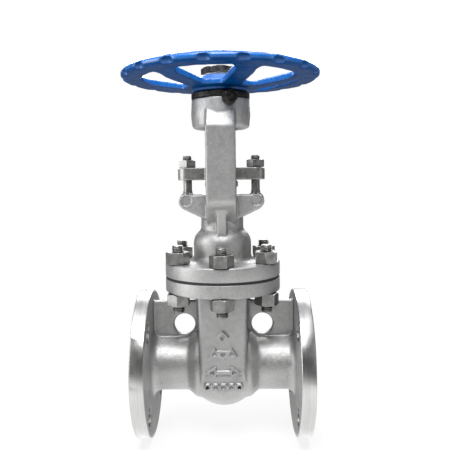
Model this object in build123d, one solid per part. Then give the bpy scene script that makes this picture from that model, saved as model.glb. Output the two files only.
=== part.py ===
from build123d import *
import math
import os

# Gate valve, NPS 2 class 150, outside screw and yoke, drawn closed.
# +X is the flow direction, +Z is up the stem, the front face looks along -Y.
# All heights below are measured from the flow axis. The finished pieces are lifted
# so that the end flanges stand on the floor plane z = 0.

# ---- driving dimensions (mm) ----
FACE_TO_FACE = 178.0
FLANGE_D = 152.0
FLANGE_DISC = 14.0
RAISED_FACE_D = 92.1
RAISED_FACE_H = 1.6
PORT_BOLT_CIRCLE = 120.7
PORT_BOLT_HOLE = 19.0
PORT_BOLTS = 4
BORE_D = 50.0
PIPE_R = 28.3

BELL_R = 35.8
BELL_END = 36.2
CHAMBER_TOP_HALF = 25.0
CHAMBER_LOW_HALF = 22.4
CHAMBER_DEPTH = 39.0
BELLY_R = 44.0
BELLY_END = (23.5, 35.3)
CAVITY_FLOOR = -33.0
CAVITY_HALF = 17.5
CAVITY_DEPTH = 33.5
WEB_HALF = 3.5
WEB_TOP = 66.5
WEB_HOLE = (40.6, 41.6, 11.0)
MARK_H = 1.6
MARK_WALL = 3.2

TOP_FLANGE_R = 59.3
BODY_FLANGE = (78.4, 91.8)
GASKET_TOP = 94.3
BONNET_FLANGE_TOP = 108.5
STUD_CIRCLE_R = 51.0
STUDS = 6
STUD_R = 6.0
STUD_HOLE_R = 7.0
STUD_ENDS = (59.5, 127.0)
STUD_NUT_AF = 21.0
STUD_NUT_H = 12.0

DOME_R = 29.8
DOME_SPRING = 126.5
DOME_ARC = 16.0
NECK_R = 21.7
STUFFING_TOP = 177.0
STUFFING_FLOOR = 140.0
STUFFING_R = 15.5
BACKSEAT_BOTTOM = 128.0
BACKSEAT_R = 13.0

ARM_HALF = 14.8
ARM_OUT = 38.0
ARM_IN = 29.0
HUB = (243.5, 273.4)
HUB_R = 30.2
HUB_BORE_R = 17.0
HUB_POCKET_R = 24.0
HUB_POCKET_FLOOR = 252.0

STEM_R = 9.0
STEM_TOP = 300.0
LIFT = 56.0
RUNNING = 0.05
SHOULDER_R = 12.0
SHOULDER_GAP = 0.5

WEDGE_R = 31.5
WEDGE_HALF = 12.0
WEDGE_ANGLE = 5.0
SEAT_OUT_R = 31.0
SEAT_FLOOR = 24.0
GUIDE_HALF = 2.5

EYE_X = 35.0
EYE_Z = 171.0
EYE_R = 8.5
EYE_HALF = 4.4
PIN_R = 4.0
LUG_Y = (4.6, 12.5)
PLATE = (191.6, 204.2)
PLATE_END = 45.3
PLATE_HALF = 12.0
GLAND_TRAVEL = 4.0
GLAND_NUT_AF = 16.0
GLAND_NUT_H = 8.0
EYEBOLT_TOP = 216.5
THREAD10_R = 5.0

COLLAR = (273.4, 279.0)
COLLAR_R = 29.7
LOCK_Z = 272.2
LOCK_TURN = 18.0

WHEEL_R = 100.0
WHEEL_BORE_R = 14.0
WHEEL_HUB = (279.3, 296.0)
WHEEL_HUB_R = 31.0
SPOKE_UNDER = 282.6
SPOKE_OVER = 288.0
RIM_BOTTOM = 292.4
RIM_TOP = 303.2
RIM_IN = 79.0
SPOKES = 6
SPOKE_HALF = 10.0
SPOKE_TURN = 50.0
GRIPS = 18
WHEEL_NUT = (297.2, 305.0)
WHEEL_NUT_AF = 34.0

FLOOR = -FLANGE_D / 2


# ---- small helpers ----
def outline(*corners):
    """Closed face through (a, b) corners; a third value rounds that corner."""
    face = Polygon(*[corner[:2] for corner in corners], align=None)
    for corner in corners:
        if len(corner) == 3:
            point = face.vertices().sort_by_distance((corner[0], corner[1], 0))[0]
            face = fillet(point, corner[2])
    return face


def turned(*corners):
    """Solid of revolution about Z from (radius, height) corners."""
    return revolve(Plane.XZ * outline(*corners), Axis.Z)


def rod(radius, low, high, x=0.0, y=0.0):
    """Upright cylinder between two heights."""
    return Pos(x, y, low) * Cylinder(radius, high - low, align=(Align.CENTER, Align.CENTER, Align.MIN))


def across(radius, half, x, z):
    """Cylinder along Y, centred on y = 0."""
    return Pos(x, 0, z) * Rot(90, 0, 0) * Cylinder(radius, 2 * half)


def block(x0, x1, y0, y1, z0, z1):
    """Box from its two extreme corners."""
    return Pos((x0 + x1) / 2, (y0 + y1) / 2, (z0 + z1) / 2) * Box(x1 - x0, y1 - y0, z1 - z0)


def ring(outer, inner, low, high):
    """Flat ring about Z."""
    return rod(outer, low, high) - rod(inner, low - 1, high + 1)


def upright(face, half):
    """Face drawn in (y, z), pulled both ways along X."""
    return extrude(Plane.YZ * face, half, both=True)


def lengthwise(face, y0, y1):
    """Face drawn in (x, z), pulled along Y from y0 to y1."""
    return Pos(0, y1, 0) * extrude(Plane.XZ * face, y1 - y0)


def around(count, radius, start=0.0):
    """Points spaced evenly on a circle about Z."""
    for index in range(count):
        angle = math.radians(start + 360.0 * index / count)
        yield radius * math.cos(angle), radius * math.sin(angle)


def hex_nut(across_flats, height, hole_r, turn=0.0):
    """Hex nut standing on z = 0, its corners chamfered at both ends."""
    corner_r = across_flats / math.sqrt(3)
    nut = extrude(Rot(0, 0, turn) * RegularPolygon(corner_r, 6), height)
    slope = (corner_r - across_flats / 2) * 0.6
    edge = across_flats / 2 * 0.98
    cone = turned((0, 0), (edge, 0), (corner_r + 0.1, slope), (corner_r + 0.1, height - slope),
                  (edge, height), (0, height))
    mouth = hole_r + 0.6
    bore = turned((0, -1), (mouth, -1), (mouth, 0), (hole_r, 0.6), (hole_r, height - 0.6),
                  (mouth, height), (mouth, height + 1), (0, height + 1))
    return (nut & cone) - bore


def save(node, solid):
    """Write one node, lifted onto the floor plane."""
    solids = [one for one in solid.solids()] if hasattr(solid, "solids") else list(solid)
    moved = [Pos(0, 0, -FLOOR) * one for one in solids]
    export_step(moved[0] if len(moved) == 1 else Compound(children=moved), f"parts/{node}.step")


def both_ends(solid):
    """The solid and its mirror image on the other side of the stem."""
    return solid + mirror(solid, Plane.YZ)


# ---- body ----
def wedge_half(z):
    """Half thickness of the wedge at a height."""
    return WEDGE_HALF + z * math.tan(math.radians(WEDGE_ANGLE))


def flow_tube():
    """Pipe ends, their flanges and the bell that holds each seat."""
    end = FACE_TO_FACE / 2
    disc = end - RAISED_FACE_H
    back = disc - FLANGE_DISC
    face = outline(
        (0, 0), (0, BELL_R), (BELL_END - 8.7, BELL_R, 5.0), (BELL_END, PIPE_R, 3.0), (back, PIPE_R, 8.0),
        (back, FLANGE_D / 2, 1.5), (disc, FLANGE_D / 2, 1.0), (disc, RAISED_FACE_D / 2),
        (end, RAISED_FACE_D / 2), (end, 0))
    return both_ends(revolve(Plane.XZ * face, Axis.X))


def chamber():
    """Flat-faced, slightly tapered box around the wedge, with a barrel-shaped belly below."""
    top = BODY_FLANGE[0] + 2.0
    box = lengthwise(outline((-CHAMBER_LOW_HALF, -BELL_R), (CHAMBER_LOW_HALF, -BELL_R), (CHAMBER_TOP_HALF, top),
                             (-CHAMBER_TOP_HALF, top)), -CHAMBER_DEPTH, CHAMBER_DEPTH)
    box = fillet([edge for edge in box.edges() if edge.length > 60 and abs(edge.position_at(0.5).Y) > 30
                  and abs(edge.position_at(0.5).X) > 15], 4.0)
    centre = CHAMBER_DEPTH - BELL_R + 0.9
    side = Pos(0, (centre + top) / 2) * Rectangle(2 * CHAMBER_DEPTH, top - centre)
    side += Pos(0, centre) * Circle(CHAMBER_DEPTH)
    return (box & upright(side, 40.0)) + belly()


def belly():
    """Lower half of a barrel that lies along the flow axis."""
    half, end_r = BELLY_END
    with BuildSketch() as section:
        with BuildLine():
            Polyline((-half, end_r), (-half, 0), (half, 0), (half, end_r))
            ThreePointArc((half, end_r), (0, BELLY_R), (-half, end_r))
        make_face()
    barrel = revolve(Plane.XZ * section.sketch, Axis.X)
    return barrel & block(-30.0, 30.0, -CHAMBER_DEPTH, CHAMBER_DEPTH, -60.0, -2.0)


def webs():
    """Thin ribs that tie the chamber to both end flanges."""
    reach = FACE_TO_FACE / 2 - RAISED_FACE_H - FLANGE_DISC + 1.0
    plate = block(-reach, reach, -WEB_HALF, WEB_HALF, 22.0, WEB_TOP)
    return fillet(plate.edges().filter_by(Axis.X).group_by(Axis.Z)[-1], 1.2)


def is_web_root(edge):
    """True for the upright corners where a web meets the chamber."""
    middle = edge.position_at(0.5)
    return abs(abs(middle.Y) - WEB_HALF) < 0.01 and abs(abs(middle.X) - 24.2) < 1.5 and edge.length > 20


def cavity():
    """Hollow for the wedge, open upwards."""
    centre = CAVITY_FLOOR + CAVITY_DEPTH
    side = Pos(0, (centre + 110.0) / 2) * Rectangle(2 * CAVITY_DEPTH, 110.0 - centre)
    side += Pos(0, centre) * Circle(CAVITY_DEPTH)
    return upright(side, CAVITY_HALF)


def guides():
    """Two ribs in the cavity that guide the wedge."""
    rib = block(-GUIDE_HALF, GUIDE_HALF, CAVITY_DEPTH - 4.0, CAVITY_DEPTH + 1.0, -12.0, 78.0)
    return rib + mirror(rib, Plane.XZ)


def hollow(radius, sides, turn=0.0, wall=MARK_WALL):
    """Regular polygon drawn as an outline."""
    return RegularPolygon(radius, sides, rotation=turn) - RegularPolygon(radius - wall, sides, rotation=turn)


def cast_marks():
    """Raised rows of plain foundry marks on the front face, with no lettering."""
    face = -CHAMBER_DEPTH
    shapes = [Pos(0, 36.9) * hollow(6.2, 4)]
    shapes += [Pos(x, 20.1) * hollow(6.6, 3, turn) for x, turn in ((-8.4, 90), (0.0, -90), (8.4, 90))]
    shapes += [Pos(x, 1.5) * hollow(6.6, 3, turn) for x, turn in ((-10.5, 180), (10.5, 0))]
    shapes.append(Pos(0, 1.5) * RectangleRounded(15.6, 3.2, 1.0))
    shapes += [Pos(x, -13.6) * hollow(4.3, 6, 0.0, 2.2) for x in (-15.8, -7.9, 0.0, 7.9, 15.8)]
    return [lengthwise(shape, face - MARK_H, face + 1.0) for shape in shapes]


def port_holes():
    """Bolt holes through both end flanges."""
    holes = []
    for y, z in around(PORT_BOLTS, PORT_BOLT_CIRCLE / 2, 45.0):
        for x in (-FACE_TO_FACE / 2, FACE_TO_FACE / 2):
            holes.append(Pos(x, y, z) * Rot(0, 90, 0) * Cylinder(PORT_BOLT_HOLE / 2, 50.0))
    return holes


def stud_holes(low, high):
    """Clearance holes for the bonnet studs."""
    return [rod(STUD_HOLE_R, low, high, x, y) for x, y in around(STUDS, STUD_CIRCLE_R, -90.0)]


def body():
    """One casting: ends, chamber, webs and top flange, with all machined holes."""
    low, high = BODY_FLANGE
    box = chamber() + webs()
    box = fillet([edge for edge in box.edges() if is_web_root(edge)], 6.0)
    flange = turned((0, low), (TOP_FLANGE_R, low, 1.5), (TOP_FLANGE_R, high, 0.6), (0, high))
    solid = box + flow_tube() + flange
    solid -= Rot(0, 90, 0) * Cylinder(BORE_D / 2, FACE_TO_FACE + 2)
    solid -= Rot(0, 90, 0) * Cylinder(SEAT_OUT_R, 2 * SEAT_FLOOR)
    solid -= cavity()
    x, z, radius = WEB_HOLE
    for cut in [across(radius, 10.0, x, z), across(radius, 10.0, -x, z), *port_holes(),
                *stud_holes(low - 1, high + 1)]:
        solid -= cut
    for mark in [guides(), *cast_marks()]:
        solid += mark
    return solid


def seat_ring(side):
    """Seat ring pressed into the body, its face sloped to suit the wedge."""
    blank = Rot(0, 90, 0) * (Cylinder(SEAT_OUT_R, 2 * SEAT_FLOOR) - Cylinder(BORE_D / 2, 2 * SEAT_FLOOR + 2))
    low, high = -40.0, 40.0
    gap = RUNNING
    slope = Polygon((wedge_half(low) + gap, low), (60, low), (60, high), (wedge_half(high) + gap, high),
                    align=None)
    right = blank & lengthwise(slope, -40.0, 40.0)
    return right if side > 0 else mirror(right, Plane.YZ)


# ---- wedge and stem ----
def wedge():
    """Wedge gate with a T-slot boss on top and a guide slot on each side."""
    low, high = -40.0, 50.0
    section = Polygon((-wedge_half(low), low), (wedge_half(low), low), (wedge_half(high), high),
                      (-wedge_half(high), high), align=None)
    disc = Rot(0, 90, 0) * Cylinder(WEDGE_R, 60.0)
    solid = disc & lengthwise(section, -40.0, 40.0)
    waist = Rot(0, 90, 0) * (Cylinder(WEDGE_R + 1, 8.0) - Cylinder(WEDGE_R - 4, 9.0))
    solid -= waist
    solid += block(-11.0, 11.0, -14.0, 14.0, 20.0, 48.0)
    solid -= block(-20.0, 20.0, -10.0, 10.0, 32.5, 41.0)
    solid -= block(-20.0, 20.0, -7.8, 7.8, 40.0, 49.0)
    for sign in (-1, 1):
        solid -= block(-GUIDE_HALF - 0.5, GUIDE_HALF + 0.5, sign * 31.0 - 2.5, sign * 31.0 + 2.5, -40, 40)
    return solid


def stem():
    """Rising stem: T-head, backseat shoulder and plain clearance diameter for the thread."""
    shoulder = BACKSEAT_BOTTOM - LIFT - SHOULDER_GAP
    shaft = turned(
        (0, 38.0), (7.4, 38.0), (7.4, 50.0), (STEM_R, 52.0), (STEM_R, shoulder - 6.0),
        (SHOULDER_R, shoulder - 6.0), (SHOULDER_R, shoulder - 1.5), (SHOULDER_R - 1.5, shoulder),
        (STEM_R, shoulder), (STEM_R, STEM_TOP - 1.5), (STEM_R - 1.5, STEM_TOP), (0, STEM_TOP))
    return shaft + block(-9.0, 9.0, -9.5, 9.5, 33.0, 40.5)


# ---- bonnet ----
def bonnet_shell():
    """Flange, dome and neck turned about the stem."""
    with BuildSketch() as half:
        with BuildLine():
            Polyline((0, GASKET_TOP), (TOP_FLANGE_R, GASKET_TOP), (TOP_FLANGE_R, BONNET_FLANGE_TOP),
                     (DOME_R, BONNET_FLANGE_TOP), (DOME_R, DOME_SPRING))
            dome = CenterArc((DOME_R - DOME_ARC, DOME_SPRING), DOME_ARC, 0, 60)
            Polyline(dome @ 1, (NECK_R, STUFFING_TOP), (0, STUFFING_TOP), (0, GASKET_TOP))
        make_face()
        for corner, radius in [((TOP_FLANGE_R, GASKET_TOP), 0.6), ((TOP_FLANGE_R, BONNET_FLANGE_TOP), 2.0),
                               ((DOME_R, BONNET_FLANGE_TOP), 7.0), (dome @ 1, 5.0),
                               ((NECK_R, STUFFING_TOP), 1.0)]:
            fillet(half.vertices().sort_by_distance(Vector(*corner))[0], radius)
    return revolve(Plane.XZ * half.sketch, Axis.Z)


def arm():
    """Rear yoke arm with its gusset, from the neck up to the hub."""
    low, high = HUB
    strip = outline(
        (18.0, 146.5), (ARM_OUT, 168.7, 12.0), (ARM_OUT, low + 0.5, 5.0), (24.0, 266.8), (12.0, 266.8),
        (12.0, low), (ARM_IN, low, 4.0), (ARM_IN, 177.0, 14.0), (18.0, 164.0))
    gusset = outline((18.0, 133.0), (27.0, 137.0), (32.3, 165.0), (18.0, 165.0))
    bar = upright(strip, ARM_HALF)
    long_edges = [edge for edge in bar.edges() if abs(edge.position_at(0.5).X) > ARM_HALF - 0.1]
    return fillet(long_edges, 1.6) + fillet(upright(gusset, 4.8).edges(), 1.0)


def lug(x_sign, y_sign):
    """One ear of the pair that holds an eyebolt pin."""
    ear = outline((10.0, 177.0), (40.4, 177.0, 4.5), (44.2, 169.4, 5.5), (39.8, 163.0, 4.5),
                  (20.0, 153.7), (10.0, 150.5))
    plate = lengthwise(ear, *LUG_Y)
    plate = fillet([edge for edge in plate.edges() if edge.position_at(0.5).X > 14], 0.8)
    if x_sign < 0:
        plate = mirror(plate, Plane.YZ)
    return plate if y_sign > 0 else mirror(plate, Plane.XZ)


def hub():
    """Round head of the yoke."""
    low, high = HUB
    return turned((0, low), (HUB_R - 1.2, low, 4.0), (HUB_R, 256.0, 20.0), (HUB_R - 0.8, high, 0.8),
                  (0, high))


def lock_bore(radius, inner, outer):
    """Radial cylinder on the lock screw's axis."""
    turn = math.radians(-90.0 + LOCK_TURN)
    middle = (inner + outer) / 2
    place = Pos(middle * math.cos(turn), middle * math.sin(turn), LOCK_Z)
    return place * Rot(0, 0, -90.0 + LOCK_TURN) * Rot(0, 90, 0) * Cylinder(radius, outer - inner)


def bonnet():
    """One casting: bonnet, stuffing box, gland lugs, yoke and hub, with its machined holes."""
    solid = bonnet_shell() + arm() + mirror(arm(), Plane.XZ) + hub()
    for x_sign in (-1, 1):
        for y_sign in (-1, 1):
            solid += lug(x_sign, y_sign)
    bottom, top = GASKET_TOP - 1, STUFFING_TOP + 1
    solid -= turned((0, bottom), (24.0, bottom), (24.0, 99.0), (22.5, 102.0), (22.5, 120.0), (18.0, 126.0),
                    (BACKSEAT_R, BACKSEAT_BOTTOM), (BACKSEAT_R, STUFFING_FLOOR), (STUFFING_R, STUFFING_FLOOR),
                    (STUFFING_R, top), (0, top))
    solid -= turned((0, HUB[0] - 1), (HUB_BORE_R, HUB[0] - 1), (HUB_BORE_R, HUB_POCKET_FLOOR),
                    (HUB_POCKET_R, HUB_POCKET_FLOOR), (HUB_POCKET_R, HUB[1] + 1), (0, HUB[1] + 1))
    for cut in [across(PIN_R + RUNNING, 20.0, EYE_X, EYE_Z), across(PIN_R + RUNNING, 20.0, -EYE_X, EYE_Z),
                lock_bore(4.1, 20.0, 36.0), lock_bore(8.0, 29.2, 36.0),
                *stud_holes(GASKET_TOP - 1, BONNET_FLANGE_TOP + 1)]:
        solid -= cut
    return solid


def gasket():
    """Full-face flat gasket."""
    solid = ring(TOP_FLANGE_R - 0.6, 36.0, BODY_FLANGE[1], GASKET_TOP)
    for hole in stud_holes(BODY_FLANGE[1] - 1, GASKET_TOP + 1):
        solid -= hole
    return solid


def studs():
    """Six studs with chamfered ends."""
    low, high = STUD_ENDS
    tip = STUD_R - 1.0
    stud = turned((0, low), (tip, low), (STUD_R, low + 1), (STUD_R, high - 1), (tip, high), (0, high))
    return [Pos(x, y, 0) * stud for x, y in around(STUDS, STUD_CIRCLE_R, -90.0)]


def stud_nuts(foot, turns):
    """Six heavy hex nuts standing at one height, each left at its own angle."""
    nuts = []
    for (x, y), turn in zip(around(STUDS, STUD_CIRCLE_R, -90.0), turns):
        nuts.append(Pos(x, y, foot) * hex_nut(STUD_NUT_AF, STUD_NUT_H, STUD_R + RUNNING, turn))
    return nuts


# ---- stem seal ----
def backseat_bushing():
    """Bushing at the foot of the stuffing box, coned to seat the stem's shoulder."""
    low, high = BACKSEAT_BOTTOM, STUFFING_FLOOR
    bore = STEM_R + 2 * RUNNING
    return turned((bore, low + 1.5), (bore + 1.5, low), (BACKSEAT_R, low), (BACKSEAT_R, high), (bore, high))


def packing():
    """Five square packing rings."""
    height = (172.0 - STUFFING_FLOOR) / 5
    rings = []
    for index in range(5):
        low = STUFFING_FLOOR + index * height
        rings.append(ring(STUFFING_R - RUNNING, STEM_R + RUNNING, low + 0.02, low + height - 0.02))
    return rings


def gland_follower():
    """Sleeve that presses the packing."""
    bore, nose, head = STEM_R + 2 * RUNNING, STUFFING_R - RUNNING, 17.0
    return turned((bore, 172.05), (nose, 172.05), (nose, 184.5), (head, 184.5, 1.0), (head, 189.5),
                  (head - 2.0, PLATE[0]), (bore, PLATE[0]))


def gland_plate():
    """Gland flange: round-ended bar with an open slot at each end for the swing eyebolts."""
    low, high = PLATE
    plan = RectangleRounded(2 * PLATE_END, 2 * PLATE_HALF, PLATE_HALF - 0.5)
    plan += Circle(21.0)
    solid = Pos(0, 0, low) * extrude(plan, high - low)
    rims = [edge for edge in solid.edges() if abs(edge.position_at(0.5).Z - (low + high) / 2) > 1]
    solid = fillet(rims, 1.0)
    solid -= rod(STEM_R + 0.6, low - 1, high + 1)
    swing = high - EYE_Z - GLAND_TRAVEL
    for sign in (-1, 1):
        slot = rod(THREAD10_R + 0.3, low - 1, high + 1, sign * EYE_X)
        half = THREAD10_R + 0.3
        slot += block(*sorted((sign * EYE_X, sign * 60.0)), -half, half, low - 1, high + 1)
        solid -= slot
        above = block(*sorted((sign * EYE_X, sign * 60.0)), -20.0, 20.0, high - 6.0, high + 2.0)
        solid -= above - across(swing, 25.0, sign * EYE_X, high - swing)
    return solid


def eyebolt(sign):
    """Swing eyebolt hanging on its pin."""
    x = sign * EYE_X
    eye = across(EYE_R, EYE_HALF, x, EYE_Z)
    shank = Pos(x, 0, 0) * turned((0, EYE_Z), (4.35, EYE_Z), (4.35, 199.0), (THREAD10_R - 0.05, 199.6),
                                  (THREAD10_R - 0.05, EYEBOLT_TOP - 0.9), (THREAD10_R - 1, EYEBOLT_TOP),
                                  (0, EYEBOLT_TOP))
    flare = Pos(x, 0, 0) * turned((0, EYE_Z + 6), (5.25, EYE_Z + 6), (4.35, EYE_Z + 10.5),
                                  (0, EYE_Z + 10.5))
    flare &= block(x - 20, x + 20, -EYE_HALF, EYE_HALF, EYE_Z, EYE_Z + 20)
    return eye + flare + shank - across(PIN_R + RUNNING, 10.0, x, EYE_Z)


def pins():
    """Two pins with slightly domed ends."""
    reach = LUG_Y[1] + 1.5
    half = outline((0, -reach), (PIN_R - 1.4, -reach), (PIN_R, -reach + 1.2), (PIN_R, reach - 1.2),
                   (PIN_R - 1.4, reach), (0, reach))
    pin = Rot(90, 0, 0) * revolve(Plane.XZ * half, Axis.Z)
    return [Pos(sign * EYE_X, 0, EYE_Z) * pin for sign in (-1, 1)]


def gland_nut(sign, turn):
    """Hex nut on an eyebolt."""
    nut = hex_nut(GLAND_NUT_AF, GLAND_NUT_H, THREAD10_R, turn)
    return Pos(sign * EYE_X, 0, PLATE[1] + 0.02) * nut


# ---- drive ----
def keyway(inner, outer, low, high, half):
    """Slot for the wheel key on the +Y side."""
    return block(-half, half, inner, outer, low, high)


def yoke_sleeve():
    """Stem nut that turns in the hub and carries the handwheel."""
    bore = STEM_R + RUNNING
    neck = HUB_BORE_R - RUNNING
    rim = HUB_POCKET_R - 0.3
    solid = turned(
        (bore, 244.5), (neck, 244.5, 1.0), (neck, 254.05), (rim, 254.05), (rim, 261.95), (neck, 261.95),
        (neck, WHEEL_HUB[0] - 0.02), (WHEEL_BORE_R, WHEEL_HUB[0] - 0.02), (WHEEL_BORE_R, WHEEL_HUB[1]),
        (13.0, WHEEL_HUB[1]), (13.0, 303.0), (12.0, 304.0), (bore, 304.0))
    return solid - keyway(WHEEL_BORE_R - 2.0, 20.0, 283.0, WHEEL_HUB[1] + 0.1, 2.5)


def key():
    """Square key between sleeve and wheel."""
    return keyway(WHEEL_BORE_R - 1.98, WHEEL_BORE_R + 2.4, 283.02, 295.8, 2.48)


def retaining_collar():
    """Screwed collar that keeps the sleeve in the hub."""
    low, high = COLLAR
    bore, neck = HUB_BORE_R + RUNNING, HUB_POCKET_R - RUNNING
    solid = turned((bore, 264.05), (neck, 264.05), (neck, low), (COLLAR_R, low), (COLLAR_R, high, 1.2),
                   (bore, high))
    return solid - lock_bore(4.1, 20.0, 36.0) - lock_bore(10.5, 29.2, 36.0)


def lock_screw():
    """Hex-headed screw that locks the collar to the hub."""
    turn = -90.0 + LOCK_TURN
    flange = turned((0, 29.2), (7.5, 29.2), (7.5, 30.6), (5.5, 32.2), (0, 32.2))
    head = flange + Pos(0, 0, 30.0) * (hex_nut(12.0, 7.0, 0.5, 0.0) + rod(3.0, 0.0, 6.6))
    shank = Pos(0, 0, 24.5) * Cylinder(4.0, 6.0, align=(Align.CENTER, Align.CENTER, Align.MIN))
    return Pos(0, 0, LOCK_Z) * Rot(0, 0, turn) * Rot(0, 90, 0) * (head + shank)


def window():
    """Rounded opening between two neighbouring spokes, centred on the +X direction."""
    half_gap = math.radians(180.0 / SPOKES)
    inner, outer = WHEEL_HUB_R + 5.0, RIM_IN + 0.6
    ends = []
    for radius in (inner, outer):
        along = math.sqrt(radius ** 2 - SPOKE_HALF ** 2)
        ends.append((along * math.cos(half_gap) + SPOKE_HALF * math.sin(half_gap),
                     along * math.sin(half_gap) - SPOKE_HALF * math.cos(half_gap)))
    (near_x, near_y), (far_x, far_y) = ends
    with BuildSketch() as opening:
        with BuildLine():
            Line((near_x, near_y), (far_x, far_y))
            ThreePointArc((far_x, far_y), (outer, 0), (far_x, -far_y))
            Line((far_x, -far_y), (near_x, -near_y))
            ThreePointArc((near_x, -near_y), (inner, 0), (near_x, near_y))
        make_face()
        fillet(opening.vertices().sort_by(Axis.X)[:2], 6.0)
        fillet(opening.vertices().sort_by(Axis.X)[-2:], 7.0)
    return extrude(Pos(0, 0, 270.0) * opening.sketch, 45.0)


def handwheel():
    """Dished wheel: rim with finger scoops, six deep spokes and a coned, keyed hub."""
    rim = turned((RIM_IN, RIM_BOTTOM, 1.5), (WHEEL_R - 3.5, RIM_BOTTOM, 1.5),
                 (WHEEL_R, RIM_BOTTOM + 2.4, 1.5), (WHEEL_R, RIM_TOP - 4.6, 2.0), (94.0, RIM_TOP - 1.2, 3.0),
                 (86.0, RIM_TOP, 4.0), (RIM_IN, RIM_TOP - 3.3, 2.5))
    dish = turned((20.0, SPOKE_UNDER), (36.0, SPOKE_UNDER + 0.6, 10.0), (68.0, SPOKE_UNDER + 5.6, 8.0),
                  (81.0, RIM_BOTTOM + 0.8), (84.0, RIM_BOTTOM + 6.0), (66.0, SPOKE_OVER + 6.8, 10.0),
                  (WHEEL_HUB_R, SPOKE_OVER), (20.0, SPOKE_OVER))
    for index in range(SPOKES):
        turn = SPOKE_TURN + 360.0 * (index + 0.5) / SPOKES
        dish -= Rot(0, 0, turn) * window()
    low, high = WHEEL_HUB
    solid = rim + dish + turned((0, low), (WHEEL_HUB_R - 3.0, low, 1.0), (WHEEL_HUB_R, SPOKE_OVER),
                                (21.5, high, 2.0), (0, high))
    for x, y in around(GRIPS, WHEEL_R + 1.4, -97.0):
        solid -= Pos(x, y, RIM_BOTTOM + 0.5) * Sphere(7.2)
    solid -= rod(WHEEL_BORE_R + 0.02, low - 1, high + 1)
    return solid - keyway(WHEEL_BORE_R - 1.0, WHEEL_BORE_R + 2.5, low - 1, high + 1, 2.5)


def wheel_nut():
    """Hex nut that holds the wheel on its sleeve."""
    low, high = WHEEL_NUT
    return Pos(0, 0, low) * hex_nut(WHEEL_NUT_AF, high - low, 13.0 + RUNNING, 4.5)


def build():
    """Write every node."""
    os.makedirs("parts", exist_ok=True)
    save("body", body())
    save("seat_ring_outlet", seat_ring(1))
    save("seat_ring_inlet", seat_ring(-1))
    save("wedge", wedge())
    save("stem", stem())
    save("bonnet", bonnet())
    save("bonnet_gasket", gasket())
    save("bonnet_studs", studs())
    save("bonnet_nuts_upper", stud_nuts(BONNET_FLANGE_TOP, (55, 24, 50, 12, 40, 2)))
    save("bonnet_nuts_lower", stud_nuts(BODY_FLANGE[0] - STUD_NUT_H, (45, 5, 33, 8, 15, 27)))
    save("backseat_bushing", backseat_bushing())
    save("packing_rings", packing())
    save("gland_follower", gland_follower())
    save("gland_flange", gland_plate())
    save("eyebolt_left", eyebolt(-1))
    save("eyebolt_right", eyebolt(1))
    save("eyebolt_pins", pins())
    save("gland_nut_left", gland_nut(-1, 30.0))
    save("gland_nut_right", gland_nut(1, 10.0))
    save("yoke_sleeve", yoke_sleeve())
    save("thrust_washer_lower", ring(HUB_POCKET_R - 0.3, HUB_BORE_R + RUNNING, HUB_POCKET_FLOOR, 254.0))
    save("thrust_washer_upper", ring(HUB_POCKET_R - 0.3, HUB_BORE_R + RUNNING, 262.0, 264.0))
    save("retaining_collar", retaining_collar())
    save("lock_screw", lock_screw())
    save("handwheel", handwheel())
    save("handwheel_key", key())
    save("wheel_washer", ring(20.0, 13.2, WHEEL_HUB[1], WHEEL_NUT[0]))
    save("handwheel_nut", wheel_nut())


if __name__ == "__main__":
    build()
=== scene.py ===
import math

import bmesh
import bpy
import numpy as np
from mathutils import Matrix, Vector


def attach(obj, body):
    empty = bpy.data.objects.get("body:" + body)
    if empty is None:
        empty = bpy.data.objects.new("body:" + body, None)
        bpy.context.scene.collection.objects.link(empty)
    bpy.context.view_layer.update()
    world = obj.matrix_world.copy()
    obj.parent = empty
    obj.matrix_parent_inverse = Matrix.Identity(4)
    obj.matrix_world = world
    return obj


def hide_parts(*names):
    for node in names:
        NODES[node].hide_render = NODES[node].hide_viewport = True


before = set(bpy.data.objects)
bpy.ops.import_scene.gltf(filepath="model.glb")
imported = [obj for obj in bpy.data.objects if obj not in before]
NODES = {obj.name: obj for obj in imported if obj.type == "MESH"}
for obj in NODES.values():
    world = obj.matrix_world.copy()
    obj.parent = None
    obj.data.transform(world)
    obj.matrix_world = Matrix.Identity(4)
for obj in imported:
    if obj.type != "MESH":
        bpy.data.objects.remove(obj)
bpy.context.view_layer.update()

MM = 0.001
WELD_DISTANCE = 0.002 * MM

# Sizes in mm. The frame stands on the floor; heights here are measured from the flow axis.
PORT_Z = 76.0
FLANGE_BACK = 73.4
FLANGE_R = 76.0
TOP_FLANGE_R = 59.3
BODY_FLANGE_LOW = 78.4
BONNET_FLANGE_TOP = 108.5
EYE_X = 35.0
EYE_Z = 171.0
FAR = 200.0

# Each crisp flange starts a hair off the CAD's own face; the casting under it stops inside its rim
# and reaches a few mm into it.
CRISP_START = 0.15
CASTING_INSET = 1.4
CASTING_REACH = 4

# Parts of the castings that keep their machined shape, and the front marks, which stay sharper.
SEAT_R, SEAT_REACH, BORE_R = 33.5, 27, 27.5
MARKS_Y, MARKS_HALF_WIDTH, MARKS_LOW, MARKS_HIGH = -37.5, 21, -19, 44
STUFFING_R, STUFFING_TOP = 17.0, 178
SLEEVE_SEAT_R, SLEEVE_SEAT_LOW = 25.5, 242
PIN_R, PIN_HALF_LENGTH = 5.2, 14
WHEEL_BORE_R = 16.0

# A ring sunk round each eyebolt pin on the outside of its lug.
RING_R, RING_Y, RING_DEPTH = 5.3, 11.8, 1.1

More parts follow.
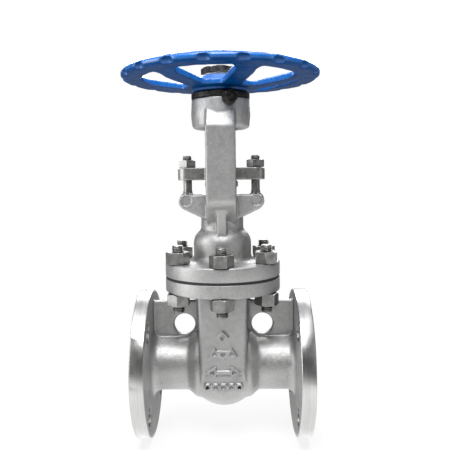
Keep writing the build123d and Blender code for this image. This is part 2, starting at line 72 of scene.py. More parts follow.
# Surface waves of each casting: feature size, height, seed. Each is a sum of WAVE_COUNT sines.
WAVE_COUNT, WAVE_SCALE = 14, 4.0
BODY_WAVES = [(26.0, 0.10, 3), (9.0, 0.05, 4), (3.2, 0.035, 5)]
BONNET_WAVES = [(24.0, 0.10, 13), (8.0, 0.05, 14), (3.0, 0.035, 15)]
WHEEL_WAVES = [(20.0, 0.10, 23), (7.0, 0.06, 24)]

# Bonnet studs, eyebolts and stem.
STUD_COUNT = 6
STUD_CIRCLE_R = 51.0
EYEBOLT_THREAD_LOW = 199.0
STEM_THREAD_LOW = 187.0

# Camera fitted to the photo: picture and focal length in pixels, place in mm, turns in radians.
PICTURE_PX, FOCAL_PX, SENSOR_MM = 450, 564.07, 36
CAMERA_PLACE = (12.284, -584.03, 191.17)
CAMERA_PITCH, CAMERA_YAW, CAMERA_ROLL = 0.0791, -0.0160, -0.0130


# ---------------------------------------------------------------- meshes
def add_object(name, mesh):
    piece = bpy.data.objects.new(name, mesh)
    bpy.context.scene.collection.objects.link(piece)
    return piece


def mesh_from(name, points, faces):
    """Mesh object from points in mm, heights measured from the flow axis."""
    mesh = bpy.data.meshes.new(name)
    lifted = [(x * MM, y * MM, (z + PORT_Z) * MM) for x, y, z in points]
    mesh.from_pydata(lifted, [], faces)
    mesh.update()
    return add_object(name, mesh)


def solid_normals(piece):
    """Turn every face of a closed mesh outwards."""
    work = bmesh.new()
    work.from_mesh(piece.data)
    bmesh.ops.recalc_face_normals(work, faces=work.faces)
    work.to_mesh(piece.data)
    work.free()


def lathe(name, profile, axis="Z", steps=96):
    """Closed solid from (radius, height) corners; the first and last lie on the axis."""
    points = [(0.0, 0.0, profile[0][1])]
    for radius, height in profile[1:-1]:
        for step in range(steps):
            angle = 2 * math.pi * step / steps
            points.append((radius * math.cos(angle), radius * math.sin(angle), height))
    points.append((0.0, 0.0, profile[-1][1]))
    faces = []
    rings = len(profile) - 2
    for step in range(steps):
        after = (step + 1) % steps
        faces.append((0, 1 + after, 1 + step))
        last = 1 + (rings - 1) * steps
        faces.append((len(points) - 1, last + step, last + after))
        for ring in range(rings - 1):
            low, high = 1 + ring * steps, 1 + (ring + 1) * steps
            faces.append((low + step, low + after, high + after, high + step))
    if axis == "X":
        points = [(z, x, y) for x, y, z in points]
    piece = mesh_from(name, points, faces)
    solid_normals(piece)
    return piece


def slab(name, low, high):
    """Box from two corners in mm."""
    x_ends, y_ends, z_ends = zip(low, high)
    corners = [(x, y, z) for x in x_ends for y in y_ends for z in z_ends]
    faces = [(0, 1, 3, 2), (4, 6, 7, 5), (0, 4, 5, 1), (2, 3, 7, 6), (0, 2, 6, 4), (1, 5, 7, 3)]
    piece = mesh_from(name, corners, faces)
    solid_normals(piece)
    return piece


def cad_copy(node, name):
    """Welded copy of a CAD node's mesh, so that it can be cut and remeshed."""
    mesh = bpy.data.meshes.new(name)
    work = bmesh.new()
    work.from_mesh(NODES[node].data)
    bmesh.ops.remove_doubles(work, verts=work.verts, dist=WELD_DISTANCE)
    work.to_mesh(mesh)
    work.free()
    mesh.materials.clear()
    return add_object(name, mesh)


def bake(piece):
    """Replace the piece's mesh by what its modifiers give."""
    graph = bpy.context.evaluated_depsgraph_get()
    mesh = bpy.data.meshes.new_from_object(piece.evaluated_get(graph))
    piece.modifiers.clear()
    piece.data = mesh


def keep_inside(piece, cutter):
    """Cut away what lies outside the cutter, and remove the cutter."""
    cut = piece.modifiers.new("cut", "BOOLEAN")
    cut.operation = "INTERSECT"
    cut.solver = "EXACT"
    cut.object = cutter
    bake(piece)
    bpy.data.objects.remove(cutter)


def remesh(piece, size_mm):
    """Even mesh of small squares, which can be softened."""
    voxels = piece.modifiers.new("voxels", "REMESH")
    voxels.mode = "VOXEL"
    voxels.voxel_size = size_mm * MM
    bake(piece)


def points_of(piece):
    """Vertices as an array in mm, heights measured from the flow axis."""
    flat = np.empty(len(piece.data.vertices) * 3)
    piece.data.vertices.foreach_get("co", flat)
    points = flat.reshape(-1, 3) / MM
    points[:, 2] -= PORT_Z
    return points


def set_points(piece, points):
    moved = points.copy()
    moved[:, 2] += PORT_Z
    piece.data.vertices.foreach_set("co", (moved * MM).ravel())
    piece.data.update()


def soften(piece, weight, rounds):
    """Relax the mesh where weight is not zero, as sand casting rounds every corner."""
    pairs = np.empty(len(piece.data.edges) * 2, dtype=np.int64)
    piece.data.edges.foreach_get("vertices", pairs)
    one, two = pairs[0::2], pairs[1::2]
    points = points_of(piece)
    count = len(points)
    valence = np.bincount(one, minlength=count) + np.bincount(two, minlength=count)
    strength = 0.5 * weight(points)[:, None]
    for _ in range(rounds):
        total = np.stack([np.bincount(one, points[two, k], count)
                          + np.bincount(two, points[one, k], count) for k in range(3)], axis=1)
        points += strength * (total / valence[:, None] - points)
    set_points(piece, points)


def waviness(points, size, seed):
    """Smooth pseudo-random field with features of about the given size."""
    draw = np.random.default_rng(seed)
    field = np.zeros(len(points))
    for _ in range(WAVE_COUNT):
        way = draw.normal(size=3)
        way *= 2 * math.pi / (size * draw.uniform(0.7, 1.6) * np.linalg.norm(way))
        field += np.sin(points @ way + draw.uniform(0, 2 * math.pi))
    return field / WAVE_SCALE


def ripple(piece, waves, weight):
    """Push the surface in and out a little, as a mould's face does."""
    points = points_of(piece)
    normals = np.empty(len(points) * 3)
    piece.data.vertices.foreach_get("normal", normals)
    push = sum(height * waviness(points, size, seed) for size, height, seed in waves)
    set_points(piece, points + normals.reshape(-1, 3) * (push * weight(points))[:, None])


def smooth(piece):
    piece.data.polygons.foreach_set("use_smooth", [True] * len(piece.data.polygons))


def creased(piece, degrees=35.0):
    """Smooth shading with sharp edges kept."""
    smooth(piece)
    piece.data.set_sharp_from_angle(angle=math.radians(degrees))


def join(name, pieces):
    """One object from several, in the order given."""
    work = bmesh.new()
    for piece in pieces:
        work.from_mesh(piece.data)
        bpy.data.objects.remove(piece)
    mesh = bpy.data.meshes.new(name)
    work.to_mesh(mesh)
    work.free()
    return add_object(name, mesh)


def threaded(name, radius, pitch, low, high, x, y, threads, hand=1, tip=0.8, steps=40, depth=None):
    """Rod whose thread is cut between the heights in threads, plain elsewhere.

    hand is 1 for a right-hand thread and -1 for a left-hand one; tip is the bevel at each end.
    """
    depth = depth or 0.6 * pitch
    heights = [low, low + tip * 0.5]
    z = low + tip
    while z < high - tip:
        heights.append(z)
        inside = any(a - pitch < z < b + pitch for a, b in threads)
        z += pitch / 8 if inside else min(4.0, high - tip - z + 0.01)
    heights += [high - tip, high - tip * 0.5, high]
    angles = np.arange(steps) * 2 * math.pi / steps
    points = [(x, y, low)]
    for z in heights:
        phase = (z / pitch - hand * angles / (2 * math.pi)) % 1.0
        groove = np.clip(np.abs(phase - 0.5) * 3.2 - 0.3, 0.0, 1.0)
        run_out = max(min(min(z - a, b - z) / pitch + 0.5, 1.0) for a, b in threads)
        radii = radius - depth * max(run_out, 0.0) * groove
        end = min(z - low, high - z)
        radii = np.minimum(radii, radius - depth - 0.1 + end if end < tip + 0.4 else radius)
        points += [(x + r * math.cos(t), y + r * math.sin(t), z) for r, t in zip(radii, angles)]
    points.append((x, y, high))
    faces = []
    rows = len(heights)
    for step in range(steps):
        after = (step + 1) % steps
        faces.append((0, 1 + after, 1 + step))
        last = 1 + (rows - 1) * steps
        faces.append((len(points) - 1, last + step, last + after))
        for row in range(rows - 1):
            a, b = 1 + row * steps, 1 + (row + 1) * steps
            faces.append((a + step, a + after, b + after, b + step))
    piece = mesh_from(name, points, faces)
    creased(piece, 50.0)
    return piece


# ---------------------------------------------------------------- materials
def fill_ramp(node, stops):
    """Set a color ramp to (position, value) or (position, color) stops, in rising order."""
    marks = node.color_ramp.elements
    while len(marks) < len(stops):
        marks.new(1.0)
    for mark, (position, color) in zip(marks, stops):
        mark.position = position
        if not isinstance(color, tuple):
            color = (color, color, color)
        mark.color = (*color, 1.0)


class Nodes:
    """Small helper that adds shader nodes and links them."""

    def __init__(self, name):
        self.mat = bpy.data.materials.new(name)
        self.mat.use_nodes = True
        self.tree = self.mat.node_tree
        self.bsdf = self.tree.nodes["Principled BSDF"]
        self.place = self.add("ShaderNodeTexCoord").outputs["Object"]

    def add(self, kind, **values):
        node = self.tree.nodes.new(kind)
        for key, value in values.items():
            setattr(node, key, value)
        return node

    def link(self, source, target):
        self.tree.links.new(source, target)

    def put(self, node, key, value):
        socket = node.inputs[key]
        if isinstance(value, bpy.types.NodeSocket):
            self.link(value, socket)
        else:
            socket.default_value = value

    def stretch(self, scale):
        """Object coordinates scaled by a different amount along each axis."""
        node = self.add("ShaderNodeMapping")
        self.link(self.place, node.inputs["Vector"])
        node.inputs["Scale"].default_value = scale
        return node.outputs["Vector"]

    def noise(self, scale, detail=3.0, rough=0.55, vector=None):
        node = self.add("ShaderNodeTexNoise")
        self.link(vector or self.place, node.inputs["Vector"])
        for key, value in (("Scale", scale), ("Detail", detail), ("Roughness", rough)):
            node.inputs[key].default_value = value
        return node.outputs["Fac"]

    def cells(self, scale):
        node = self.add("ShaderNodeTexVoronoi")
        self.link(self.place, node.inputs["Vector"])
        node.inputs["Scale"].default_value = scale
        return node.outputs["Distance"]

    def ramp(self, value, stops):
        """Map a value to another through (position, value) or (position, color) stops."""
        node = self.add("ShaderNodeValToRGB")
        self.link(value, node.inputs["Fac"])
        fill_ramp(node, stops)
        return node.outputs["Color"]

    def mix(self, fac, one, two, blend="MIX"):
        """Blend two colors; the node's color sockets are inputs 6 and 7 and output 2."""
        node = self.add("ShaderNodeMix", data_type="RGBA", blend_type=blend)
        self.put(node, 0, fac)
        for index, color in ((6, one), (7, two)):
            if not isinstance(color, bpy.types.NodeSocket):
                color = (*color, 1.0)
            self.put(node, index, color)
        return node.outputs[2]

    def math(self, operation, *values):
        node = self.add("ShaderNodeMath", operation=operation)
        for index, value in enumerate(values):
            self.put(node, index, value)
        return node.outputs[0]

    def bump(self, height, depth_mm, strength, normal=None):
        node = self.add("ShaderNodeBump")
        node.inputs["Strength"].default_value = strength
        node.inputs["Distance"].default_value = depth_mm * MM
        self.link(height, node.inputs["Height"])
        if normal is not None:
            self.link(normal, node.inputs["Normal"])
        return node.outputs["Normal"]

    def rounded(self, radius_mm):
        """Normal that turns smoothly over edges, as a small bevel does."""
        node = self.add("ShaderNodeBevel", samples=4)
        node.inputs["Radius"].default_value = radius_mm * MM
        return node.outputs["Normal"]

    def edge_highlight_mask(self, soft, low, high):
        """1 on edges, where the rounded normal leaves the face's own normal."""
        plain = self.add("ShaderNodeNewGeometry").outputs["Normal"]
        both = self.add("ShaderNodeVectorMath", operation="DOT_PRODUCT")
        self.link(soft, both.inputs[0])
        self.link(plain, both.inputs[1])
        return self.ramp(both.outputs["Value"], [(low, 1.0), (high, 0.0)])

    def facing_up(self, stops):
        """Stops run from 0 on faces that look down to 1 on faces that look up."""
        split = self.add("ShaderNodeSeparateXYZ")
        self.link(self.add("ShaderNodeNewGeometry").outputs["Normal"], split.inputs[0])
        return self.ramp(self.math("MULTIPLY_ADD", split.outputs["Z"], 0.5, 0.5), stops)

    def shade(self, reach_mm, low):
        """Painted shade: 1 on open faces, down to low in corners."""
        node = self.add("ShaderNodeAmbientOcclusion", samples=6)
        node.inputs["Distance"].default_value = reach_mm * MM
        return self.ramp(node.outputs["AO"], [(0.25, low), (0.95, 1.0)])

    def finish(self, **values):
        """Set the shader's inputs, given with _ for each space, and return the material."""
        for key, value in values.items():
            if isinstance(value, tuple):
                value = (*value, 1.0)
            self.put(self.bsdf, key.replace("_", " "), value)
        return self.mat


def cast_steel(name, bevel=None):
    """Shot-blasted stainless casting: grainy, satin, with painted shade darkening its corners."""
    n = Nodes(name)
    broad = n.noise(45, 3)
    patch = n.noise(240, 4, 0.6)
    grain = n.noise(1000, 3, 0.7)
    pits = n.ramp(n.cells(900), [(0.0, 0.0), (0.22, 1.0)])
    color = n.mix(n.ramp(broad, [(0.3, 0.0), (0.7, 1.0)]),
                  (0.40, 0.40, 0.395), (0.50, 0.50, 0.495))
    color = n.mix(0.4, color, n.ramp(patch, [(0.3, 0.38), (0.7, 0.54)]))
    color = n.mix(0.35, color, n.ramp(grain, [(0.3, 0.22), (0.72, 0.80)]), "OVERLAY")
    # Painted shade: the colour is multiplied down in corners and creases, over 7 mm and over 1.6
    # mm.
    color = n.mix(1.0, color, n.shade(7.0, 0.36), "MULTIPLY")
    color = n.mix(1.0, color, n.shade(1.6, 0.30), "MULTIPLY")
    rough = n.ramp(patch, [(0.25, 0.44), (0.75, 0.58)])
    normal = n.bump(grain, 0.12, 0.6, n.rounded(bevel) if bevel else None)
    normal = n.bump(pits, 0.05, 0.5, normal)
    normal = n.bump(patch, 0.12, 0.3, normal)
    return n.finish(Base_Color=color, Metallic=0.92, Roughness=rough, Normal=normal)


def turned_steel(name, scale, color=(0.62, 0.62, 0.61)):
    """Machined stainless with tool marks; scale is large along the tool's feed."""
    n = Nodes(name)
    lines = n.noise(1.0, 2, 0.6, n.stretch(scale))
    wide = n.noise(1.0, 1, 0.5, n.stretch(tuple(s * 0.22 for s in scale)))
    broad = n.noise(60, 3)
    tone = n.mix(n.ramp(lines, [(0.32, 0.0), (0.68, 1.0)]), tuple(c * 0.78 for c in color), color)
    tone = n.mix(0.3, tone, n.ramp(wide, [(0.35, 0.48), (0.65, 0.64)]))
    # Painted shade: the tone is darkened in corners by ambient occlusion.
    tone = n.mix(1.0, tone, n.shade(6.0, 0.5), "MULTIPLY")
    rough = n.ramp(broad, [(0.3, 0.24), (0.7, 0.36)])
    normal = n.bump(lines, 0.03, 0.5, n.rounded(0.35))
    return n.finish(Base_Color=tone, Metallic=1.0, Roughness=rough, Normal=normal, Anisotropic=0.4)


def wrought_steel(name, dark, bright, rough_low, rough_high, edge=0.35):
    """Forged or rolled fastener steel with a painted highlight on its edges and painted shade in
    its recesses.
    """
    n = Nodes(name)
    patch = n.noise(170, 4, 0.65)
    grain = n.noise(1300, 3, 0.6)
    color = n.mix(n.ramp(patch, [(0.3, 0.0), (0.72, 1.0)]), dark, bright)
    color = n.mix(0.3, color, n.ramp(grain, [(0.3, 0.25), (0.7, 0.75)]), "OVERLAY")
    soft = n.rounded(edge)
    # Painted highlight: edges are lightened towards pale steel.
    color = n.mix(n.math("MULTIPLY", n.edge_highlight_mask(soft, 0.86, 0.99), 0.7), color, (0.72, 0.71, 0.69))
    # Painted shade in corners and recesses.
    color = n.mix(1.0, color, n.shade(5.0, 0.35), "MULTIPLY")
    rough = n.ramp(patch, [(0.25, rough_low), (0.75, rough_high)])
    normal = n.bump(grain, 0.05, 0.4, soft)
    return n.finish(Base_Color=color, Metallic=1.0, Roughness=rough, Normal=normal)


def blackened(name, rough_low, rough_high, metallic):
    """Oiled black steel with a few lighter rubs."""
    n = Nodes(name)
    patch = n.noise(210, 5, 0.7)
    grain = n.noise(1100, 3, 0.6)
    color = n.mix(n.ramp(patch, [(0.42, 0.0), (0.74, 1.0)]),
                  (0.012, 0.012, 0.012), (0.085, 0.078, 0.07))
    rough = n.ramp(patch, [(0.3, rough_low), (0.7, rough_high)])
    normal = n.bump(grain, 0.08, 0.6, n.rounded(0.3))
    return n.finish(Base_Color=color, Metallic=metallic, Roughness=rough, Normal=normal)


def enamel():
    """Thick glossy blue paint over a rough wheel casting, with painted highlights on its ridges and
    painted shade in hollows and on faces that look down.
    """
    n = Nodes("blue_enamel")
    broad = n.noise(70, 3)
    peel = n.noise(260, 2, 0.5)
    color = n.mix(n.ramp(broad, [(0.3, 0.0), (0.7, 1.0)]),
                  (0.0, 0.125, 0.52), (0.001, 0.175, 0.64))
    soft = n.rounded(0.8)
    # Painted highlight: ridges found by pointiness are lightened to pale blue.
    ridge_highlight = n.ramp(n.add("ShaderNodeNewGeometry").outputs["Pointiness"], [(0.52, 0.0), (0.60, 1.0)])
    color = n.mix(n.math("MULTIPLY", ridge_highlight, 0.75), color, (0.20, 0.48, 0.90))
    # Painted shade in hollows.
    color = n.mix(1.0, color, n.shade(10.0, 0.45), "MULTIPLY")
    # Painted shade: faces that look down are darkened, to a quarter at the bottom.
    color = n.mix(1.0, color, n.facing_up([(0.05, 0.25), (0.36, 0.5), (0.6, 1.0)]), "MULTIPLY")
    gloss = n.facing_up([(0.2, 0.04), (0.5, 0.75)])
    normal = n.bump(peel, 0.16, 0.5, soft)
    rough = n.ramp(peel, [(0.3, 0.25), (0.7, 0.38)])
    return n.finish(Base_Color=color, Roughness=rough, Normal=normal, Specular_IOR_Level=gloss,
                    Coat_Weight=gloss, Coat_Roughness=0.1)


def fibre(name, color, rough):
    """Pressed graphite or fibre sheet."""
    n = Nodes(name)
    flecks = n.noise(900, 4, 0.7)
    light = tuple(c * 2.2 + 0.01 for c in color)
    tone = n.mix(n.ramp(flecks, [(0.4, 0.0), (0.75, 1.0)]), color, light)
    return n.finish(Base_Color=tone, Roughness=rough, Normal=n.bump(flecks, 0.08, 0.5))


def yellow_metal():
    """Bronze with a light tarnish."""
    n = Nodes("bronze")
    patch = n.noise(200, 4, 0.6)
    lines = n.noise(1.0, 2, 0.6, n.stretch((60, 60, 2600)))
    color = n.mix(n.ramp(patch, [(0.3, 0.0), (0.7, 1.0)]), (0.42, 0.25, 0.10), (0.66, 0.44, 0.20))
    rough = n.ramp(patch, [(0.3, 0.25), (0.7, 0.4)])
    normal = n.bump(lines, 0.03, 0.4, n.rounded(0.3))
    return n.finish(Base_Color=color, Metallic=1.0, Roughness=rough, Normal=normal)


CAST = cast_steel("cast_stainless")
RIM_TURNED = turned_steel("turned_rim", (2600, 45, 45))
FLANGE_EDGE = cast_steel("flange_edge", 0.4)
TRIM = turned_steel("trim_steel", (40, 40, 3000), (0.66, 0.66, 0.65))
FASTENER = wrought_steel("fastener_steel", (0.24, 0.24, 0.235), (0.46, 0.455, 0.445), 0.26, 0.46)
FORGED = wrought_steel("forged_steel", (0.26, 0.26, 0.255), (0.46, 0.455, 0.445), 0.30, 0.48, 0.5)
DARK_NUT = wrought_steel("dark_nut", (0.09, 0.087, 0.082), (0.26, 0.25, 0.24), 0.25, 0.42)
BLACK = blackened("black_oxide", 0.30, 0.55, 0.7)
GASKET = fibre("gasket_black", (0.012, 0.012, 0.012), 0.7)
GRAPHITE = fibre("packing_graphite", (0.03, 0.03, 0.03), 0.5)
BLUE = enamel()
BRONZE = yellow_metal()

CAD_LOOKS = [
    (CAST, ["body", "bonnet"]),
    (TRIM, ["seat_ring_outlet", "seat_ring_inlet", "wedge", "backseat_bushing", "gland_follower",
            "stem"]),
    (FASTENER, ["bonnet_nuts_upper", "bonnet_nuts_lower", "bonnet_studs", "handwheel_key",
                "wheel_washer"]),
    (FORGED, ["gland_flange", "eyebolt_pins", "gland_nut_left", "gland_nut_right", "eyebolt_left",
              "eyebolt_right"]),
    (BRONZE, ["yoke_sleeve", "thrust_washer_lower", "thrust_washer_upper"]),
    (BLACK, ["retaining_collar", "lock_screw"]),
    (DARK_NUT, ["handwheel_nut"]),
    (GASKET, ["bonnet_gasket"]),
    (GRAPHITE, ["packing_rings"]),
    (BLUE, ["handwheel"]),
]


def dress(piece, material):
    piece.data.materials.clear()
    piece.data.materials.append(material)


for look, node_names in CAD_LOOKS:
    for node_name in node_names:
        dress(NODES[node_name], look)


# ---------------------------------------------------------------- pieces
def install(piece, material, body, node):
    """Dress a piece, hang it on its body and show it in place of the CAD node."""
    dress(piece, material)
    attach(piece, body)
    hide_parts(node)


def body_pieces():
    """Soft-edged casting, with crisp machined end flanges and top flange."""
    casting = cad_copy("body", "body_casting")
    inset_r, near = FLANGE_R - CASTING_INSET, FLANGE_BACK - 2.0
    keep_inside(casting, lathe("cutter", [
        (0, -near - CASTING_REACH), (inset_r, -near - CASTING_REACH), (inset_r, -near),
        (150, -near), (150, near),
        (inset_r, near), (inset_r, near + CASTING_REACH), (0, near + CASTING_REACH)], "X"))
    inset_r, below, top = TOP_FLANGE_R - 1.2, BODY_FLANGE_LOW - 0.3, BODY_FLANGE_LOW + 2.5
    keep_inside(casting, lathe("cutter", [
        (0, -120), (FAR, -120), (FAR, below), (inset_r, below), (inset_r, top), (0, top)]))
    remesh(casting, 0.65)

    def cast_skin(p):
        across = np.hypot(p[:, 1], p[:, 2])
        machined = (across < SEAT_R) & (np.abs(p[:, 0]) < SEAT_REACH) | (across < BORE_R)
        marks = ((p[:, 1] < MARKS_Y) & (np.abs(p[:, 0]) < MARKS_HALF_WIDTH)
                 & (p[:, 2] > MARKS_LOW) & (p[:, 2] < MARKS_HIGH))
        return np.where(machined, 0.0, np.where(marks, 0.12, 1.0))

    soften(casting, cast_skin, 22)
    ripple(casting, BODY_WAVES, lambda p: (cast_skin(p) > 0) * 1.0)
    smooth(casting)
    install(casting, CAST, "valve", "body")
    for name, side in (("outlet_flange", 1), ("inlet_flange", -1)):
        flange = cad_copy("body", name)
        low, high = sorted((side * (FLANGE_BACK + CRISP_START), side * 95.0))
        keep_inside(flange, slab("cutter", (low, -90, -90), (high, 90, 90)))
        creased(flange)
        install(flange, RIM_TURNED, "valve", "body")
    top_flange = cad_copy("body", "body_top_flange")
    keep_inside(top_flange, slab("cutter", (-70, -70, BODY_FLANGE_LOW + CRISP_START), (70, 70, 96)))
    creased(top_flange)
    install(top_flange, FLANGE_EDGE, "valve", "body")


def bonnet_pieces():
    """Bonnet casting with its yoke, and the crisp rim of its flange."""
    casting = cad_copy("bonnet", "bonnet_casting")
    inset_r, start = TOP_FLANGE_R - 1.5, BONNET_FLANGE_TOP - CASTING_REACH
    keep_inside(casting, lathe("cutter", [(0, start), (inset_r, start), (inset_r, 320), (0, 320)]))
    remesh(casting, 0.75)

    def from_pin(p):
        return np.hypot(np.abs(p[:, 0]) - EYE_X, p[:, 2] - EYE_Z)

    def cast_skin(p):
        radius = np.hypot(p[:, 0], p[:, 1])
        machined = ((p[:, 2] < STUFFING_TOP) & (radius < STUFFING_R)
                    | (p[:, 2] > SLEEVE_SEAT_LOW) & (radius < SLEEVE_SEAT_R))
        pin = (from_pin(p) < PIN_R) & (np.abs(p[:, 1]) < PIN_HALF_LENGTH)
        return np.where(machined | pin, 0.0, 1.0)

    soften(casting, cast_skin, 12)
    points = points_of(casting)
    sunk = (from_pin(points) < RING_R) & (np.abs(points[:, 1]) > RING_Y)
    points[sunk, 1] -= np.sign(points[sunk, 1]) * RING_DEPTH
    set_points(casting, points)
    ripple(casting, BONNET_WAVES, lambda p: (cast_skin(p) > 0) * 1.0)
    smooth(casting)
    install(casting, CAST, "valve", "bonnet")
    flange = cad_copy("bonnet", "bonnet_flange")
    keep_inside(flange, slab("cutter", (-70, -70, 90), (70, 70, BONNET_FLANGE_TOP - 0.2)))
    creased(flange)
    install(flange, FLANGE_EDGE, "valve", "bonnet")


def wheel_piece():
    """Handwheel with the soft edges that casting and thick paint leave."""
    wheel = cad_copy("handwheel", "painted_wheel")
    remesh(wheel, 0.7)

    def cast_skin(p):
        return np.where(np.hypot(p[:, 0], p[:, 1]) < WHEEL_BORE_R, 0.0, 1.0)

    soften(wheel, cast_skin, 8)
    ripple(wheel, WHEEL_WAVES, cast_skin)
    smooth(wheel)
    install(wheel, BLUE, "wheel", "handwheel")


def studs():
    """Six studs threaded at both ends."""
    rods = []
    for index in range(STUD_COUNT):
        angle = math.radians(-90 + 360 / STUD_COUNT * index)
        x, y = STUD_CIRCLE_R * math.cos(angle), STUD_CIRCLE_R * math.sin(angle)
        rods.append(threaded("rod", 5.95, 1.75, 59.5, 127.0, x, y, [(59, 70), (117, 128)], tip=1.0))
    piece = join("threaded_studs", rods)
    install(piece, FASTENER, "valve", "bonnet_studs")


def eyebolts():
    """Swing bolts with threaded ends."""
    for side, name, body in ((-1, "eyebolt_left", "swing_left"),
                             (1, "eyebolt_right", "swing_right")):
        eye = cad_copy(name, "eye")
        keep_inside(eye, slab("cutter", (-60, -60, 140), (60, 60, EYEBOLT_THREAD_LOW)))
        creased(eye)
        screw = threaded("screw", 4.95, 1.5, EYEBOLT_THREAD_LOW - 0.4, 216.5, side * EYE_X, 0.0,
                         [(199.5, 218)], tip=0.8)
        piece = join("swing_" + name, [eye, screw])
        install(piece, FORGED, body, name)


def stem_piece():
    """Stem with its left-hand trapezoidal thread above the smooth sealing length."""
    lower = cad_copy("stem", "lower")
    keep_inside(lower, slab("cutter", (-60, -60, 0), (60, 60, STEM_THREAD_LOW)))
    creased(lower)
    upper = threaded("upper", 8.95, 4.0, STEM_THREAD_LOW - 0.5, 300.0, 0.0, 0.0, [(189, 304)],
                     hand=-1, tip=1.2, steps=64, depth=2.0)
    piece = join("threaded_stem", [lower, upper])
    install(piece, TRIM, "gate", "stem")


body_pieces()
bonnet_pieces()
wheel_piece()
studs()
eyebolts()
stem_piece()


# ---------------------------------------------------------------- stage
# Brightness of the surroundings against the sine of their elevation, in front of the valve and
# behind it. The two blend over a band of this half width, in sines of the bearing.
FRONT_SKY = [(-1.0, 1.20), (-0.7, 1.24), (-0.4, 1.50), (-0.1, 0.20), (0.2, 0.05), (0.5, 0.10),
             (0.78, 0.20), (0.88, 2.2), (1.0, 2.6)]
BACK_SKY = [(-1.0, 1.20), (-0.7, 1.58), (-0.35, 0.25), (-0.1, 0.34), (0.2, 0.06), (0.5, 0.15),
            (0.8, 0.25), (1.0, 1.3)]
SKY_BLEND = 0.333

# Lamps: name, place, the point aimed at, width and height in metres, power in watts.
LAMPS = [
    ("overhead", (-0.05, -0.66, 1.25), (0, 0, 0.2), (0.8, 0.75), 13),
    ("left", (-1.3, -0.40, 0.50), (0, 0, 0.12), (0.9, 1.3), 12),
    ("right", (1.3, -0.60, 0.5), (0, 0, 0.12), (0.30, 1.0), 1.2),
    ("behind", (0.1, 1.1, 0.9), (0, 0, 0.2), (1.2, 0.6), 16),
]
FLOOR_HALF = 3000


def photo_camera():
    """Camera close to the valve, a little right of the stem and level with the gland."""
    pitch, yaw, roll = CAMERA_PITCH, CAMERA_YAW, CAMERA_ROLL
    across, back, height = CAMERA_PLACE
    place = Vector((across, back, height + PORT_Z)) * MM
    level = math.cos(pitch)
    ahead = Vector((math.sin(yaw) * level, math.cos(yaw) * level, -math.sin(pitch)))
    right = Vector((math.cos(yaw), -math.sin(yaw), 0))
    up = right.cross(ahead)
    right, up = (right * math.cos(roll) + up * math.sin(roll),
                 up * math.cos(roll) - right * math.sin(roll))
    data = bpy.data.cameras.new("camera")
    data.lens = FOCAL_PX / PICTURE_PX * SENSOR_MM
    data.clip_start = 0.01
    camera = bpy.data.objects.new("camera", data)
    bpy.context.scene.collection.objects.link(camera)
    camera.matrix_world = Matrix((
        (right.x, up.x, -ahead.x, place.x),
        (right.y, up.y, -ahead.y, place.y),
        (right.z, up.z, -ahead.z, place.z),
        (0, 0, 0, 1)))
    bpy.context.scene.camera = camera


def add_lamp(name, place, target, size, power):
    """Rectangular area light aimed at a point."""
    data = bpy.data.lights.new(name, "AREA")
    data.shape = "RECTANGLE"
    data.size, data.size_y = size
    data.energy = power
    lamp = bpy.data.objects.new(name, data)
    bpy.context.scene.collection.objects.link(lamp)
    lamp.location = place
    lamp.rotation_euler = (Vector(target) - Vector(place)).to_track_quat("-Z", "Y").to_euler()


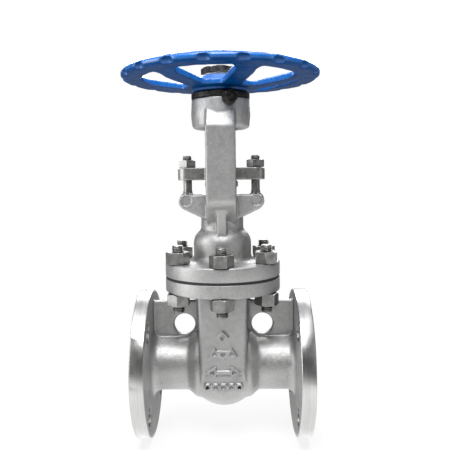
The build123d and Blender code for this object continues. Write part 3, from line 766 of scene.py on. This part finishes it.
def sky():
    """White to the camera; the valve reflects a bright floor and ceiling, dark in between."""
    world = bpy.data.worlds.new("studio")
    world.use_nodes = True
    bpy.context.scene.world = world
    tree = world.node_tree
    new, link = tree.nodes.new, tree.links.new
    seen = tree.nodes["Background"]
    seen.inputs["Color"].default_value = (1, 1, 1, 1)
    split = new("ShaderNodeSeparateXYZ")
    link(new("ShaderNodeTexCoord").outputs["Generated"], split.inputs[0])
    height = new("ShaderNodeMapRange")
    link(split.outputs["Z"], height.inputs["Value"])
    height.inputs["From Min"].default_value = -1.0
    depth = new("ShaderNodeMapRange")
    link(split.outputs["Y"], depth.inputs["Value"])
    depth.inputs["From Min"].default_value = -SKY_BLEND
    depth.inputs["From Max"].default_value = SKY_BLEND
    blend = new("ShaderNodeMix")
    blend.data_type = "RGBA"
    link(depth.outputs["Result"], blend.inputs["Factor"])
    for socket, stops in (("A", FRONT_SKY), ("B", BACK_SKY)):
        ramp = new("ShaderNodeValToRGB")
        link(height.outputs["Result"], ramp.inputs["Fac"])
        fill_ramp(ramp, [((z + 1) / 2, tone) for z, tone in stops])
        link(ramp.outputs["Color"],
             next(i for i in blend.inputs if i.name == socket and i.type == "RGBA"))
    lit = new("ShaderNodeBackground")
    link(next(o for o in blend.outputs if o.type == "RGBA"), lit.inputs["Color"])
    mix = new("ShaderNodeMixShader")
    link(new("ShaderNodeLightPath").outputs["Is Camera Ray"], mix.inputs["Fac"])
    link(lit.outputs[0], mix.inputs[1])
    link(seen.outputs[0], mix.inputs[2])
    link(mix.outputs[0], tree.nodes["World Output"].inputs["Surface"])


def floor():
    """Pale sheet that fades into the white background and isn't mirrored in the metal."""
    n = Nodes("pale_floor")
    speck = n.noise(9, 2)
    n.finish(Base_Color=n.ramp(speck, [(0.3, 0.86), (0.7, 0.90)]), Roughness=0.9)
    glow = n.add("ShaderNodeEmission")
    reach = n.add("ShaderNodeVectorMath", operation="LENGTH")
    n.link(n.place, reach.inputs[0])
    fade = n.ramp(reach.outputs["Value"], [(0.10, 0.80), (0.40, 1.0)])
    blend = n.add("ShaderNodeMixShader")
    n.link(fade, blend.inputs[0])
    n.link(n.bsdf.outputs[0], blend.inputs[1])
    n.link(glow.outputs[0], blend.inputs[2])
    n.link(blend.outputs[0], n.tree.nodes["Material Output"].inputs["Surface"])
    corners = [(x * FLOOR_HALF, y * FLOOR_HALF, -PORT_Z)
               for x, y in ((-1, -1), (1, -1), (1, 1), (-1, 1))]
    ground = mesh_from("floor", corners, [(0, 1, 2, 3)])
    dress(ground, n.mat)
    ground.visible_glossy = False
    ground.visible_diffuse = False
    ground.visible_shadow = False


bpy.context.scene.view_settings.view_transform = "Standard"
sky()
floor()
for lamp in LAMPS:
    add_lamp(*lamp)
photo_camera()
